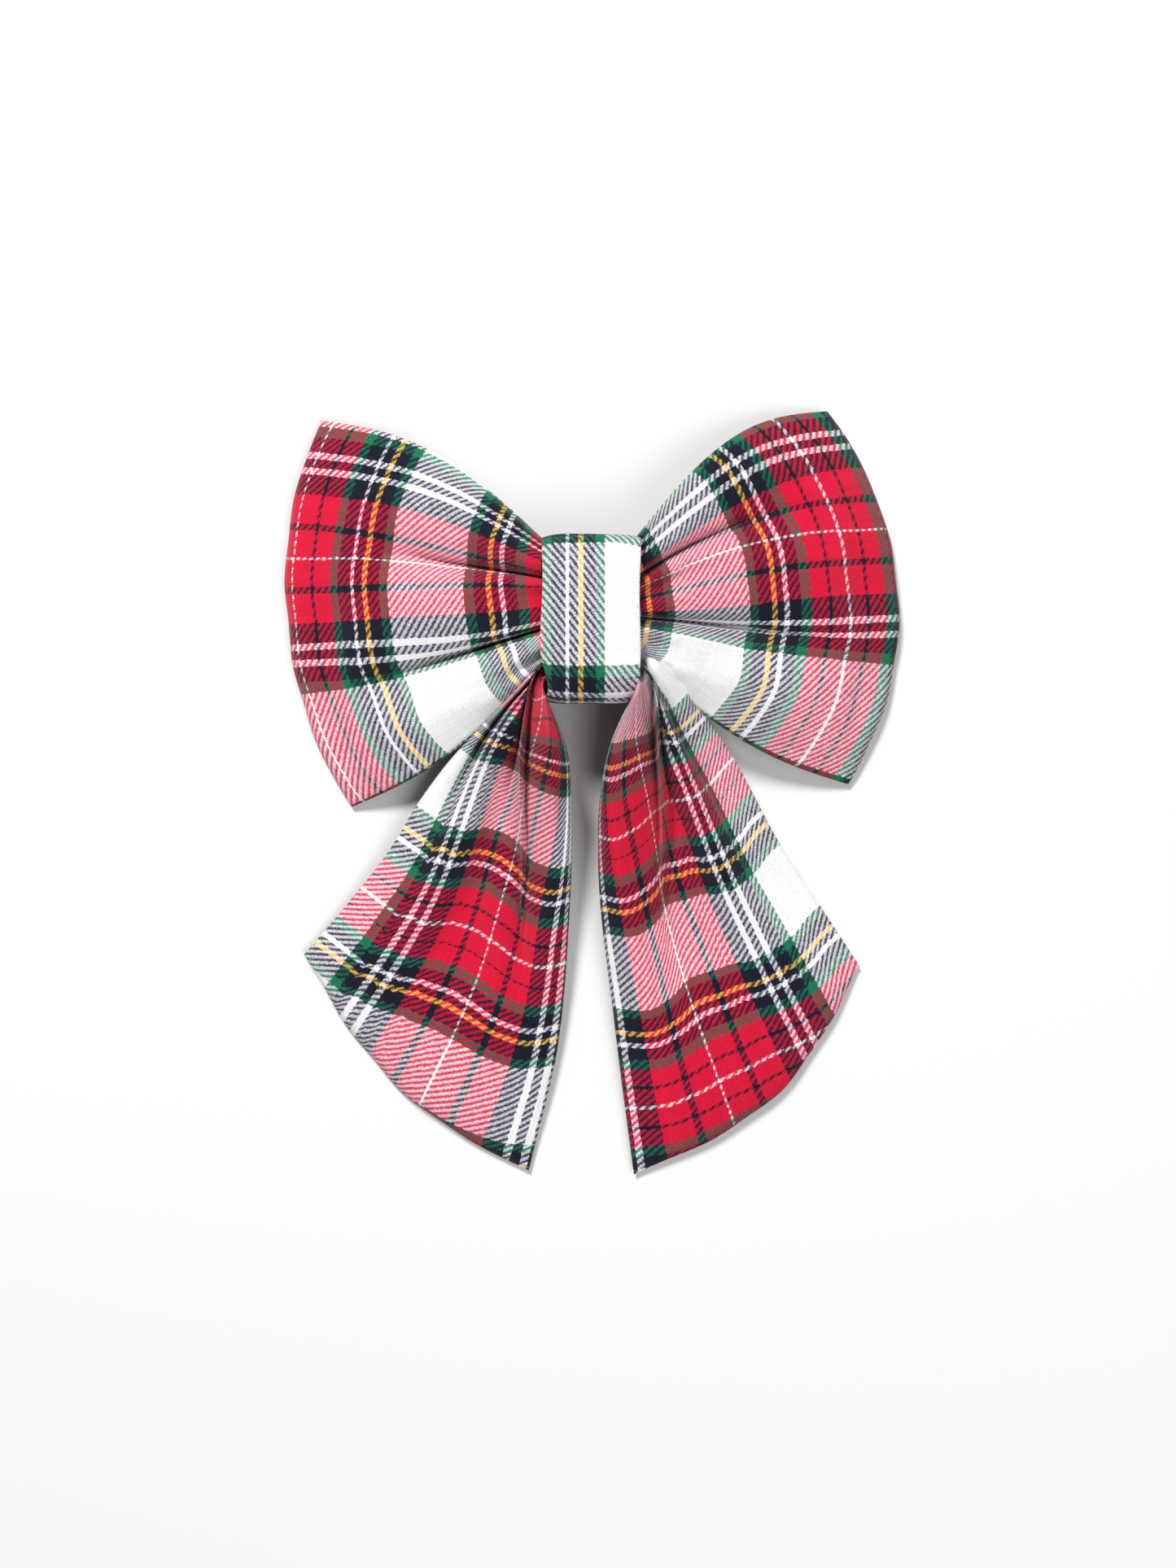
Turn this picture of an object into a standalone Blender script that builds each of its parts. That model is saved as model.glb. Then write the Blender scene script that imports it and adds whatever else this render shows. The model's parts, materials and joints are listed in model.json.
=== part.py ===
"""Gathered flannel hair bow with two tails, on a French barrette.

Frame: millimetres below, metres in Blender. The bow lies on its back, face up.
+Z is up out of the bow's face, +Y runs from the tails to the top of the loops,
and the origin is the middle of the clasp arm's flat underside, below the knot.
"""

import math

import bmesh
import bpy
from mathutils import Vector

MM = 0.001
GAP = 0.3  # air between pieces that touch on the real bow

# Centre band, wrapped round the waist
BAND_WIDTH = 26.4
BAND_HALF_HEIGHT = 21.9
BAND_HALF_DEPTH = 9.35
BAND_CENTRE_Y = -1.3
BAND_CENTRE_Z = 21.15
BAND_WALL = 1.3
BAND_SQUARENESS = 3.6  # exponent of the superellipse that the band's section follows
INTERFACING_WALL = 0.5
THREAD_RADIUS = 0.4
THREAD_TURNS = 3
THREAD_PITCH = 1.5

# Fabric panels
FLANNEL = 0.9
WAIST_HALF = 14.2  # half the gathered stretch under the band
FRONT_SHARE = 0.6  # share of a pillow's thickness that stands in front of its middle
LOOP_PLEATS = 3
TAIL_PLEATS = 2
LOWEST_FABRIC = 0.15

# Loops: (x, y) of the hem's upper and lower corner, how far the hem bows outwards, and how early the upper
# and the lower edge fan out
LOOPS = {
    "left": {"upper": (-73.8, 54.2), "lower": (-65.8, -51.0), "bow": 14.4, "flare": (0.22, 0.13)},
    "right": {"upper": (64.8, 56.4), "lower": (70.6, -45.0), "bow": 17.4, "flare": (0.27, 0.15)},
}
LOOP_GATHER_Y = (16.7, -9.6)
LOOP_HEM_Z = (3.2, 1.3)
LOOP_DROOP = 1.1
LOOP_GATHERED = 6.5
LOOP_PUFF = 5.6

# Tails: (x, y) points down each long edge, from the knot to the hem, and how far the hem bows outwards
TAILS = {
    "left": {
        "outer": (
            (-14.2, -10.3), (-23.6, -21.6), (-36.0, -36.2),
            (-54.6, -62.8), (-67.3, -79.4), (-78.0, -92.0),
        ),
        "inner": (
            (-14.2, -18.9), (-14.4, -23.0), (-11.2, -27.6), (-6.6, -38.0),
            (-6.0, -65.0), (-9.2, -118.0), (-17.3, -150.8),
        ),
        "bow": 9.0,
    },
    "right": {
        "outer": ((14.2, -10.3), (22.5, -20.0), (33.5, -31.8), (50.2, -60.0), (62.0, -78.0), (73.3, -95.4)),
        "inner": (
            (14.2, -18.9), (14.4, -23.0), (10.6, -28.0), (5.0, -38.5),
            (2.4, -62.0), (7.2, -113.0), (12.0, -151.6),
        ),
        "bow": 10.6,
    },
}
TAIL_STUB = 0.4  # how near the knot's middle a tail's stitched end reaches
TAIL_HEM_Z = 1.3
TAIL_DROOP = 2.2
TAIL_GATHERED = 5.4
TAIL_PUFF = 3.6

# Backing
FELT_SIZE = (52.0, 18.0, 1.0)
FELT_CORNER = 8.0
FELT_Z = 10.5
GLUE_SIZE = (40.0, 6.0, 0.6)
GLUE_CORNER = 2.8
GLUE_Z = 9.6

# Barrette
BASE_HALF_LENGTH = 35.0
BASE_HALF_WIDTH = 4.1
BASE_Z = 8.6
BASE_WALL = 0.7
SEW_HOLE_X = 25.5
SEW_HOLE_RADIUS = 0.9
PIN_X = -32.0
PIN_Z = 4.9
PIN_RADIUS = 0.7
PIN_HALF_LENGTH = 4.8
PIN_PLAY = (0.1, 0.15)  # in the base's ears, in the arm's ears
EAR_RADIUS = 1.9
ARM_HALF_WIDTH = 3.0
ARM_WALL = 0.9
ARM_PATH = ((-34.0, 2.4), (-28.6, 2.4), (-23.0, 0.0), (23.0, 0.0), (28.4, 2.6), (35.0, 2.6))
SLOT = ((30.6, 33.6), 2.1)  # x range and half width of the window that the prongs pass through
BAR_HALF_LENGTH = 27.0
BAR_HALF_WIDTH = 2.4
BAR_WALL = 0.4
BAR_ENDS_Z = 7.9
BAR_MIDDLE_Z = 5.7
CATCH_X = (28.4, 34.6)
CATCH_Z = 7.7
CATCH_WALL = 0.6
RIVET_X = 29.8
RIVET_RADIUS = 0.6
RIVET_HEAD = (1.1, 0.4)  # radius and height
PRONG_X = (31.0, 33.2)
PRONG_Y = (1.0, 1.6)
PRONG_BARB_Y = 1.9
PRONG_BARB_Z = (1.3, 2.1)
PRONG_FOOT_Z = 0.6

ROUND_SIDES = 20


def material(name, colour, roughness, metallic=0.0):
    """A plain Principled material."""
    made = bpy.data.materials.new(name)
    made.use_nodes = True
    shader = made.node_tree.nodes["Principled BSDF"]
    shader.inputs["Base Color"].default_value = (*colour, 1.0)
    shader.inputs["Roughness"].default_value = roughness
    shader.inputs["Metallic"].default_value = metallic
    return made


def collection_named(name):
    made = bpy.data.collections.new(name)
    bpy.context.scene.collection.children.link(made)
    return made


def add(name, data, finish, where):
    """Puts a mesh or curve in the scene as a named object."""
    made = bpy.data.objects.new(name, data)
    data.materials.append(finish)
    where.objects.link(made)
    return made


def mesh_from(name, shape):
    """Closes off a bmesh solid as a mesh, its faces outwards."""
    bmesh.ops.recalc_face_normals(shape, faces=shape.faces[:])
    if shape.calc_volume(signed=True) < 0:
        bmesh.ops.reverse_faces(shape, faces=shape.faces[:])
    mesh = bpy.data.meshes.new(name)
    shape.to_mesh(mesh)
    shape.free()
    return mesh


def mix(a, b, share):
    return a + (b - a) * share


# ---------------------------------------------------------------- fabric


def arc_point(first, last, bow, share, outwards):
    """A point on the circular arc from first to last that bows sideways by bow."""
    first, last = Vector(first), Vector(last)
    chord = (last - first).length
    radius = chord * chord / (8 * bow) + bow / 2
    half = math.asin(chord / 2 / radius)
    angle = mix(-half, half, share)
    along = (last - first).normalized()
    side = Vector((-along.y, along.x))
    if side.dot(Vector(outwards)) < 0:
        side = -side
    middle = (first + last) / 2 - side * (radius - bow)
    return middle + along * radius * math.sin(angle) + side * radius * math.cos(angle)


def crown(across):
    """0 at a pillow's two long seams, 1 half way between."""
    return math.sin(math.pi * min(max(across, 0.0), 1.0)) ** 0.6


def pillow(plan, middle_z, thickness, pleat):
    """(x, y, lowest z, highest z) of a sewn pillow at one place."""
    lowest = max(middle_z - (1 - FRONT_SHARE) * thickness, LOWEST_FABRIC)
    return plan[0], plan[1], lowest, lowest + thickness + pleat


def loop_place(along, across):
    """The bow pillow: along runs -1 to 1 from the left hem to the right one, across 0 to 1 downwards."""
    side = "left" if along < 0 else "right"
    sign = -1 if along < 0 else 1
    waist_share = 0.16
    out = max(0.0, (abs(along) - waist_share) / (1 - waist_share))
    loop = LOOPS[side]
    hem = arc_point(loop["upper"], loop["lower"], loop["bow"], across, (sign, 0))
    gather_y = mix(*LOOP_GATHER_Y, across)
    flare = out + mix(*loop["flare"], across) * math.sin(math.pi * out)
    if out > 0:
        x = mix(sign * WAIST_HALF, hem.x, out)
    else:
        x = along / waist_share * WAIST_HALF
    plan = (x, mix(gather_y, hem.y, flare))
    hem_z = mix(*LOOP_HEM_Z, across)
    middle_z = mix(hem_z, BAND_CENTRE_Z, (1 - out) ** LOOP_DROOP)
    puff = LOOP_GATHERED * (1 - out) + LOOP_PUFF * math.sin(math.pi * out**0.7)
    thickness = 2 * FLANNEL + GAP + puff * crown(across)
    depth = (0.5 + 2.6 * min(1, out * 5)) * (1 - out) ** 1.5 * crown(across)
    pleat = -depth * (0.5 + 0.5 * math.cos(2 * math.pi * LOOP_PLEATS * across))
    return pillow(plan, middle_z, thickness, pleat)


def along_points(points, share):
    """A point on the smooth curve through points, share 0 to 1 of the way along."""
    points = [Vector(point) for point in points]
    reach = [0.0]
    for a, b in zip(points, points[1:]):
        reach.append(reach[-1] + (b - a).length)
    goal = min(max(share, 0.0), 1.0) * reach[-1]
    i = max(k for k in range(len(points) - 1) if reach[k] <= goal)
    before = points[i - 1] if i else points[0] * 2 - points[1]
    after = points[i + 2] if i + 2 < len(points) else points[-1] * 2 - points[-2]
    a, b = points[i], points[i + 1]
    t = (goal - reach[i]) / (reach[i + 1] - reach[i])
    return 0.5 * (
        2 * a
        + (b - before) * t
        + (2 * before - 5 * a + 4 * b - after) * t**2
        + (3 * a - before - 3 * b + after) * t**3
    )


def tail_place(side, along, across):
    """A tail's pillow: along 0 to 1 from the stitched end to the hem, across 0 to 1 from its outer edge."""
    sign = -1 if side == "left" else 1
    tail = TAILS[side]
    stub_share = 0.1
    out = max(0.0, (along - stub_share) / (1 - stub_share))
    plan = along_points(tail["outer"], out).lerp(along_points(tail["inner"], out), across)
    if out > 0:
        plan += Vector((sign * 0.7, -0.7)) * tail["bow"] * math.sin(math.pi * across) * out**3
    else:
        plan.x = sign * mix(TAIL_STUB, WAIST_HALF, along / stub_share)
    middle_z = mix(TAIL_HEM_Z, BAND_CENTRE_Z, (1 - out) ** TAIL_DROOP)
    puff = TAIL_GATHERED * (1 - out) + TAIL_PUFF * math.sin(math.pi * out)
    thickness = 2 * FLANNEL + GAP + puff * crown(across)
    depth = 1.6 * min(1, out * 5) * (1 - out) ** 1.5 * crown(across)
    pleat = -depth * (0.5 + 0.5 * math.cos(2 * math.pi * TAIL_PLEATS * across))
    return pillow(plan, middle_z, thickness, pleat)


def fabric_layer(name, place, alongs, acrosses, layer, finish, where):
    """A solid between two heights of a pillow: its front panel, its back panel or what fills it."""

    def heights(low, high):
        if layer == "front":
            return high - FLANNEL, high
        if layer == "back":
            return low, low + FLANNEL
        return low + FLANNEL + GAP, high - FLANNEL - GAP

    shape = bmesh.new()
    bmesh.ops.create_grid(shape, x_segments=len(alongs) - 1, y_segments=len(acrosses) - 1, size=1.0)
    tops = {}
    for point in shape.verts:
        i = round((point.co.x + 1) / 2 * (len(alongs) - 1))
        j = round((point.co.y + 1) / 2 * (len(acrosses) - 1))
        x, y, low, high = place(alongs[i], acrosses[j])
        under, over = heights(low, high)
        point.co = Vector((x, y, under)) * MM
        tops[point.index] = over * MM
    bmesh.ops.triangulate(shape, faces=shape.faces[:], quad_method="FIXED")
    lower = {tuple(point.co.xy): tops[point.index] for point in shape.verts}
    risen = bmesh.ops.extrude_face_region(shape, geom=shape.faces[:])
    for point in (item for item in risen["geom"] if isinstance(item, bmesh.types.BMVert)):
        point.co.z = lower[tuple(point.co.xy)]
    mesh = mesh_from(name, shape)
    mesh.shade_smooth()
    mesh.set_sharp_from_angle(angle=math.radians(50))
    return add(name, mesh, finish, where)


def steps(first, last, count, crowd=1.0):
    """count + 1 values from first to last, closer together near first where crowd is over 1."""
    return [mix(first, last, (i / count) ** crowd) for i in range(count + 1)]


def make_bow(flannel, fleece, where):
    right = steps(0.16, 1.0, 9, 1.25)
    alongs = [-a for a in reversed(right)] + [-0.08, 0.0, 0.08] + right
    acrosses = steps(0.0, 1.0, 12)
    fabric_layer("bow_front_panel", loop_place, alongs, acrosses, "front", flannel, where)
    fabric_layer("bow_back_panel", loop_place, alongs, acrosses, "back", flannel, where)
    fabric_layer("bow_fleece_filling", loop_place, alongs[1:-1], acrosses[1:-1], "middle", fleece, where)


def make_tail(side, flannel, fleece, where):
    alongs = [0.0, 0.05, 0.1] + steps(0.13, 1.0, 9, 1.1)
    acrosses = steps(0.0, 1.0, 8)
    if side == "left":
        alongs.reverse()
        acrosses.reverse()

    def place(along, across):
        return tail_place(side, along, across)

    fabric_layer(f"{side}_tail_front_panel", place, alongs, acrosses, "front", flannel, where)
    fabric_layer(f"{side}_tail_back_panel", place, alongs, acrosses, "back", flannel, where)
    fabric_layer(f"{side}_tail_fleece_filling", place, alongs[1:-1], acrosses[1:-1], "middle", fleece, where)


# ---------------------------------------------------------------- waist


def oval(half_y, half_z, turn):
    """(y, z) on the band's section, a superellipse; turn counts from 0 to 1."""
    angle = 2 * math.pi * turn
    power = 2 / BAND_SQUARENESS
    cosine, sine = math.cos(angle), math.sin(angle)
    y = math.copysign(abs(cosine) ** power, cosine) * half_y
    z = math.copysign(abs(sine) ** power, sine) * half_z
    return BAND_CENTRE_Y + y, BAND_CENTRE_Z + z


def flat_outline(name, outlines, half_thickness, finish, where):
    """A filled 2D curve with thickness. An outline inside another is a hole."""
    curve = bpy.data.curves.new(name, "CURVE")
    curve.dimensions = "2D"
    curve.fill_mode = "BOTH"
    curve.extrude = half_thickness * MM
    for outline in outlines:
        spline = curve.splines.new("POLY")
        spline.points.add(len(outline) - 1)
        for point, (a, b) in zip(spline.points, outline, strict=True):
            point.co = (a * MM, b * MM, 0.0, 1.0)
        spline.use_cyclic_u = True
    return add(name, curve, finish, where)


def band_ring(name, half_height, half_depth, wall, half_width, finish, where):
    """A hoop of folded cloth round the waist."""
    count = 36
    outlines = []
    for inset in (0.0, wall):
        outlines.append([oval(half_height - inset, half_depth - inset, i / count) for i in range(count)])
    ring = flat_outline(name, outlines, half_width, finish, where)
    ring.rotation_euler = (math.pi / 2, 0.0, math.pi / 2)
    return ring


def make_waist(flannel, interfacing, thread, where):
    band_ring("centre_band", BAND_HALF_HEIGHT, BAND_HALF_DEPTH, BAND_WALL, BAND_WIDTH / 2, flannel, where)
    inset = BAND_WALL + GAP
    band_ring(
        "band_interfacing",
        BAND_HALF_HEIGHT - inset,
        BAND_HALF_DEPTH - inset,
        INTERFACING_WALL,
        BAND_WIDTH / 2 - 1,
        interfacing,
        where,
    )
    inset += INTERFACING_WALL + GAP + THREAD_RADIUS
    per_turn = 20
    count = THREAD_TURNS * per_turn
    curve = bpy.data.curves.new("waist_thread", "CURVE")
    curve.dimensions = "3D"
    curve.bevel_depth = THREAD_RADIUS * MM
    curve.bevel_resolution = 1
    curve.use_fill_caps = True
    spline = curve.splines.new("POLY")
    spline.points.add(count)
    for i, point in enumerate(spline.points):
        turn = i / per_turn
        x = (turn - THREAD_TURNS / 2) * THREAD_PITCH
        y, z = oval(BAND_HALF_HEIGHT - inset, BAND_HALF_DEPTH - inset, turn + 0.5 / per_turn)
        point.co = (x * MM, y * MM, z * MM, 1.0)
    add("waist_thread", curve, thread, where)


def rounded_slab(name, size, corner, low_z, finish, where):
    """A flat slab with rounded corners, its underside at low_z."""
    length, width, thickness = size
    per_corner = 6
    outline = []
    for quarter, (sx, sy) in enumerate(((1, 1), (-1, 1), (-1, -1), (1, -1))):
        for i in range(per_corner + 1):
            angle = (quarter + i / per_corner) * math.pi / 2
            x = sx * (length / 2 - corner) + corner * math.cos(angle)
            y = sy * (width / 2 - corner) + corner * math.sin(angle)
            outline.append((x, y))
    slab = flat_outline(name, [outline], thickness / 2, finish, where)
    slab.location.z = (low_z + thickness / 2) * MM
    return slab


# ---------------------------------------------------------------- barrette


def box_mesh(name, low, high):
    """A mesh box between two corners, in millimetres."""
    shape = bmesh.new()
    bmesh.ops.create_cube(shape, size=1.0)
    size = Vector(high) - Vector(low)
    bmesh.ops.scale(shape, vec=size * MM, verts=shape.verts)
    bmesh.ops.translate(shape, vec=(Vector(low) + size / 2) * MM, verts=shape.verts)
    return mesh_from(name, shape)


def rod_mesh(name, centre, radius, half_length, axis):
    """A mesh cylinder along the named axis, in millimetres."""
    shape = bmesh.new()
    bmesh.ops.create_cone(
        shape,
        cap_ends=True,
        segments=ROUND_SIDES,
        radius1=radius * MM,
        radius2=radius * MM,
        depth=2 * half_length * MM,
    )
    mesh = mesh_from(name, shape)
    turn = Vector((0, 0, 1)).rotation_difference(Vector(axis)).to_matrix().to_4x4()
    turn.translation = Vector(centre) * MM
    mesh.transform(turn)
    return mesh


def helper(name, mesh, cutters):
    """An object that only shapes others."""
    made = bpy.data.objects.new(name, mesh)
    cutters.objects.link(made)
    made.hide_render = True
    made.display_type = "WIRE"
    return made


def combine(target, other, operation):
    """Adds an exact Boolean to target."""
    made = target.modifiers.new(other.name, "BOOLEAN")
    made.operation = operation
    made.object = other


def prism_mesh(name, outline, low_y, high_y):
    """A solid whose side view is outline, a list of (x, z), between two places along Y."""
    shape = bmesh.new()
    points = [shape.verts.new(Vector((x, low_y, z)) * MM) for x, z in outline]
    side = shape.faces.new(points)
    risen = bmesh.ops.extrude_face_region(shape, geom=[side])
    moved = [item for item in risen["geom"] if isinstance(item, bmesh.types.BMVert)]
    bmesh.ops.translate(shape, vec=(0, (high_y - low_y) * MM, 0), verts=moved)
    return mesh_from(name, shape)


def strip_mesh(name, path, wall, half_width):
    """A bent strip of sheet metal whose underside follows path."""
    outline = list(path) + [(x, z + wall) for x, z in reversed(path)]
    return prism_mesh(name, outline, -half_width, half_width)


def add_ears(target, name, ear_y, root_z, cutters):
    """Two folded ears with rounded ends about the hinge pin."""
    turn = math.pi if root_z > PIN_Z else 0.0
    count = ROUND_SIDES // 2
    outline = []
    for i in range(count + 1):
        angle = turn + math.pi * i / count
        outline.append((PIN_X + EAR_RADIUS * math.cos(angle), PIN_Z + EAR_RADIUS * math.sin(angle)))
    outline += [(outline[-1][0], root_z), (outline[0][0], root_z)]
    for sign in (-1, 1):
        inner, outer = sorted((sign * ear_y[0], sign * ear_y[1]))
        ear = helper(f"{name}_ear_{sign}", prism_mesh(name, outline, inner, outer), cutters)
        combine(target, ear, "UNION")


def make_base(steel, where, cutters):
    low = (-BASE_HALF_LENGTH, -BASE_HALF_WIDTH, BASE_Z)
    high = (BASE_HALF_LENGTH, BASE_HALF_WIDTH, BASE_Z + BASE_WALL)
    base = add("barrette_base", box_mesh("barrette_base", low, high), steel, where)
    inner = BASE_HALF_WIDTH - BASE_WALL
    add_ears(base, "base", (inner, BASE_HALF_WIDTH), BASE_Z + BASE_WALL / 2, cutters)
    pin_hole = rod_mesh("base_pin_hole", (PIN_X, 0, PIN_Z), PIN_RADIUS + PIN_PLAY[0], 6, (0, 1, 0))
    combine(base, helper("base_pin_hole", pin_hole, cutters), "DIFFERENCE")
    holes = [(SEW_HOLE_X, SEW_HOLE_RADIUS), (-SEW_HOLE_X, SEW_HOLE_RADIUS), (RIVET_X, RIVET_RADIUS + 0.1)]
    for x, radius in holes:
        hole = rod_mesh("base_hole", (x, 0, BASE_Z), radius, 3, (0, 0, 1))
        combine(base, helper(f"base_hole_{x:.0f}", hole, cutters), "DIFFERENCE")
    return base


def make_arm(steel, where, cutters):
    arm = add("clasp_arm", strip_mesh("clasp_arm", ARM_PATH, ARM_WALL, ARM_HALF_WIDTH), steel, where)
    root_z = ARM_PATH[0][1] + ARM_WALL / 2
    add_ears(arm, "arm", (ARM_HALF_WIDTH - BASE_WALL, ARM_HALF_WIDTH), root_z, cutters)
    pin_hole = rod_mesh("arm_pin_hole", (PIN_X, 0, PIN_Z), PIN_RADIUS + PIN_PLAY[1], 6, (0, 1, 0))
    combine(arm, helper("arm_pin_hole", pin_hole, cutters), "DIFFERENCE")
    (slot_low, slot_high), slot_half = SLOT
    slot = box_mesh("arm_slot", (slot_low, -slot_half, 0), (slot_high, slot_half, 6))
    combine(arm, helper("arm_slot", slot, cutters), "DIFFERENCE")
    return arm


def make_tension_bar(steel, where):
    count = 16
    path = []
    for i in range(count + 1):
        x = mix(-BAR_HALF_LENGTH, BAR_HALF_LENGTH, i / count)
        dip = math.cos(math.pi * x / (2 * BAR_HALF_LENGTH)) ** 1.5
        path.append((x, mix(BAR_ENDS_Z, BAR_MIDDLE_Z, dip)))
    add("tension_bar", strip_mesh("tension_bar", path, BAR_WALL, BAR_HALF_WIDTH), steel, where)


def make_catch(steel, where, cutters):
    low = (CATCH_X[0], -ARM_HALF_WIDTH, CATCH_Z)
    high = (CATCH_X[1], ARM_HALF_WIDTH, CATCH_Z + CATCH_WALL)
    plate = add("catch_plate", box_mesh("catch_plate", low, high), steel, where)
    hole = rod_mesh("plate_hole", (RIVET_X, 0, CATCH_Z), RIVET_RADIUS + 0.1, 3, (0, 0, 1))
    combine(plate, helper("plate_hole", hole, cutters), "DIFFERENCE")

    head_radius, head_height = RIVET_HEAD
    foot_z = CATCH_Z - GAP - head_height
    top_z = BASE_Z + BASE_WALL + 0.1 + head_height
    middle = (foot_z + top_z) / 2
    shank = rod_mesh("catch_rivet", (RIVET_X, 0, middle), RIVET_RADIUS, (top_z - foot_z) / 2, (0, 0, 1))
    rivet = add("catch_rivet", shank, steel, where)
    for end, z in (("foot", foot_z + head_height / 2), ("top", top_z - head_height / 2)):
        head = rod_mesh("rivet_head", (RIVET_X, 0, z), head_radius, head_height / 2, (0, 0, 1))
        combine(rivet, helper(f"rivet_head_{end}", head, cutters), "UNION")

    for name, sign in (("catch_prong_front", -1), ("catch_prong_rear", 1)):
        inner, outer, barb = (sign * value for value in (*PRONG_Y, PRONG_BARB_Y))
        top = CATCH_Z - GAP
        profile = [
            (inner, top),
            (inner, PRONG_FOOT_Z),
            (outer, PRONG_FOOT_Z),
            (barb, PRONG_BARB_Z[0]),
            (outer, PRONG_BARB_Z[1]),
            (outer, top),
        ]
        prong = flat_outline(name, [profile], (PRONG_X[1] - PRONG_X[0]) / 2, steel, where)
        prong.rotation_euler = (math.pi / 2, 0.0, math.pi / 2)
        prong.location.x = sum(PRONG_X) / 2 * MM


def make_barrette(steel, where, cutters):
    make_base(steel, where, cutters)
    make_arm(steel, where, cutters)
    make_tension_bar(steel, where)
    make_catch(steel, where, cutters)
    pin = rod_mesh("hinge_pin", (PIN_X, 0, PIN_Z), PIN_RADIUS, PIN_HALF_LENGTH, (0, 1, 0))
    add("hinge_pin", pin, steel, where)


def main():
    for old in list(bpy.data.objects):
        bpy.data.objects.remove(old, do_unlink=True)
    bow = collection_named("hair_bow")
    cutters = collection_named("cutters")
    flannel = material("flannel", (0.55, 0.06, 0.07), 0.95)
    fleece = material("fleece", (0.85, 0.84, 0.8), 1.0)
    felt = material("felt", (0.02, 0.05, 0.035), 1.0)
    thread = material("thread", (0.8, 0.79, 0.75), 0.8)
    glue = material("glue", (0.8, 0.78, 0.7), 0.35)
    steel = material("steel", (0.62, 0.62, 0.64), 0.28, 1.0)
    make_bow(flannel, fleece, bow)
    for side in TAILS:
        make_tail(side, flannel, fleece, bow)
    make_waist(flannel, fleece, thread, bow)
    rounded_slab("felt_backing", FELT_SIZE, FELT_CORNER, FELT_Z, felt, bow)
    rounded_slab("glue_bed", GLUE_SIZE, GLUE_CORNER, GLUE_Z, glue, bow)
    make_barrette(steel, bow, cutters)


main()
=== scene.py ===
"""Looks of the tartan flannel hair bow: gathered loops, two padded tails, a wrapped band and a barrette.

Lengths are in millimetres until a mesh is made. Each flannel piece carries a UV map named "weave", in
millimetres of flat cloth, so the tartan, the twill and the nap all follow the cloth through its folds.
"""

import functools
import json
import math

import bpy
import numpy as np
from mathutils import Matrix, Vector

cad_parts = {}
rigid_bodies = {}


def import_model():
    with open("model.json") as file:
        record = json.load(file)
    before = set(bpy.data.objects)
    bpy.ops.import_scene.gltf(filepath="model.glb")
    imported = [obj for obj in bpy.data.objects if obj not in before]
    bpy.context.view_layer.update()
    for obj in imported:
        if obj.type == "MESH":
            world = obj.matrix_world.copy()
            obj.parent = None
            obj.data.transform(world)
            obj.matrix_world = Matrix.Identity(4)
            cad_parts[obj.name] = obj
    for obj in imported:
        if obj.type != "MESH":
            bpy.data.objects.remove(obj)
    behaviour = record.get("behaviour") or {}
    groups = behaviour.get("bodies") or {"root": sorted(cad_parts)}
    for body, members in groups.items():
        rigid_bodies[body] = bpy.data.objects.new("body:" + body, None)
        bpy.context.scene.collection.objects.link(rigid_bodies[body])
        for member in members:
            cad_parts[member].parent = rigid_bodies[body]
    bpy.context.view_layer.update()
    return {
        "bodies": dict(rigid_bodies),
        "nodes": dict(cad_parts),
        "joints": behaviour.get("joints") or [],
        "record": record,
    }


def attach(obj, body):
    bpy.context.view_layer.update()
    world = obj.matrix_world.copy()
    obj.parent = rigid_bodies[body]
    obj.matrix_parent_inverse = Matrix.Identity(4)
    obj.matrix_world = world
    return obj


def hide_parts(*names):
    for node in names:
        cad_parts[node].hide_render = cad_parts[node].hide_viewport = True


MM = 0.001

# Cloth lies no lower than this
LEAST_Z = 0.25

# The band: half its width, the middle and half the size of the hoop that it makes, its wall, how square the
# hoop is, and the tartan's place at its left edge and at the middle of its face. KNOT_Z is the height of the
# hoop's middle.
BAND_X = 13.2
BAND_Y = -1.3
BAND_HALF_Y = 22.0
BAND_HALF_Z = 9.35
BAND_WALL = 2.0
BAND_SQUARENESS = 4.4
BAND_WARP_LEFT = 10.9
BAND_WEFT_MIDDLE = 57.0
KNOT_Z = 21.15

# The tartan, from the middle of a red block to the middle of a white one, as (millimetre where a stripe
# starts, colour). Warp stripes run down the bow, weft stripes along it. Each pitch is the width of a yarn.
WARP_HALF = 38.0
WARP_STRIPES = (
    (0.0, "white"),
    (0.3, "red"),
    (5.3, "navy"),
    (6.2, "red"),
    (10.8, "green"),
    (13.5, "navy"),
    (16.9, "white"),
    (18.25, "navy"),
    (20.3, "yellow"),
    (21.65, "navy"),
    (25.2, "green"),
    (27.6, "white"),
)
WEFT_HALF = 53.25
WEFT_STRIPES = (
    (0.0, "white"),
    (0.4, "red"),
    (7.5, "navy"),
    (9.6, "red"),
    (17.85, "navy"),
    (23.1, "white"),
    (25.2, "navy"),
    (27.4, "white"),
    (29.5, "navy"),
    (33.9, "green"),
    (36.8, "white"),
)
YARNS = {
    "red": (0.62, 0.004, 0.034),
    "white": (0.83, 0.83, 0.835),
    "green": (0.007, 0.15, 0.066),
    "navy": (0.004, 0.006, 0.016),
    "yellow": (0.86, 0.5, 0.07),
}
WARP_PITCH = 0.47
WEFT_PITCH = 0.62

# Where the camera stands, and the plane where the photographed outlines were laid out. Outlines and seams
# below are as seen from there; seen() moves them onto the real, nearer or farther, cloth.
EYE = (-0.8, -45.6)
EYE_HEIGHT = 602.0
PLANE_Z = 4.0

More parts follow.
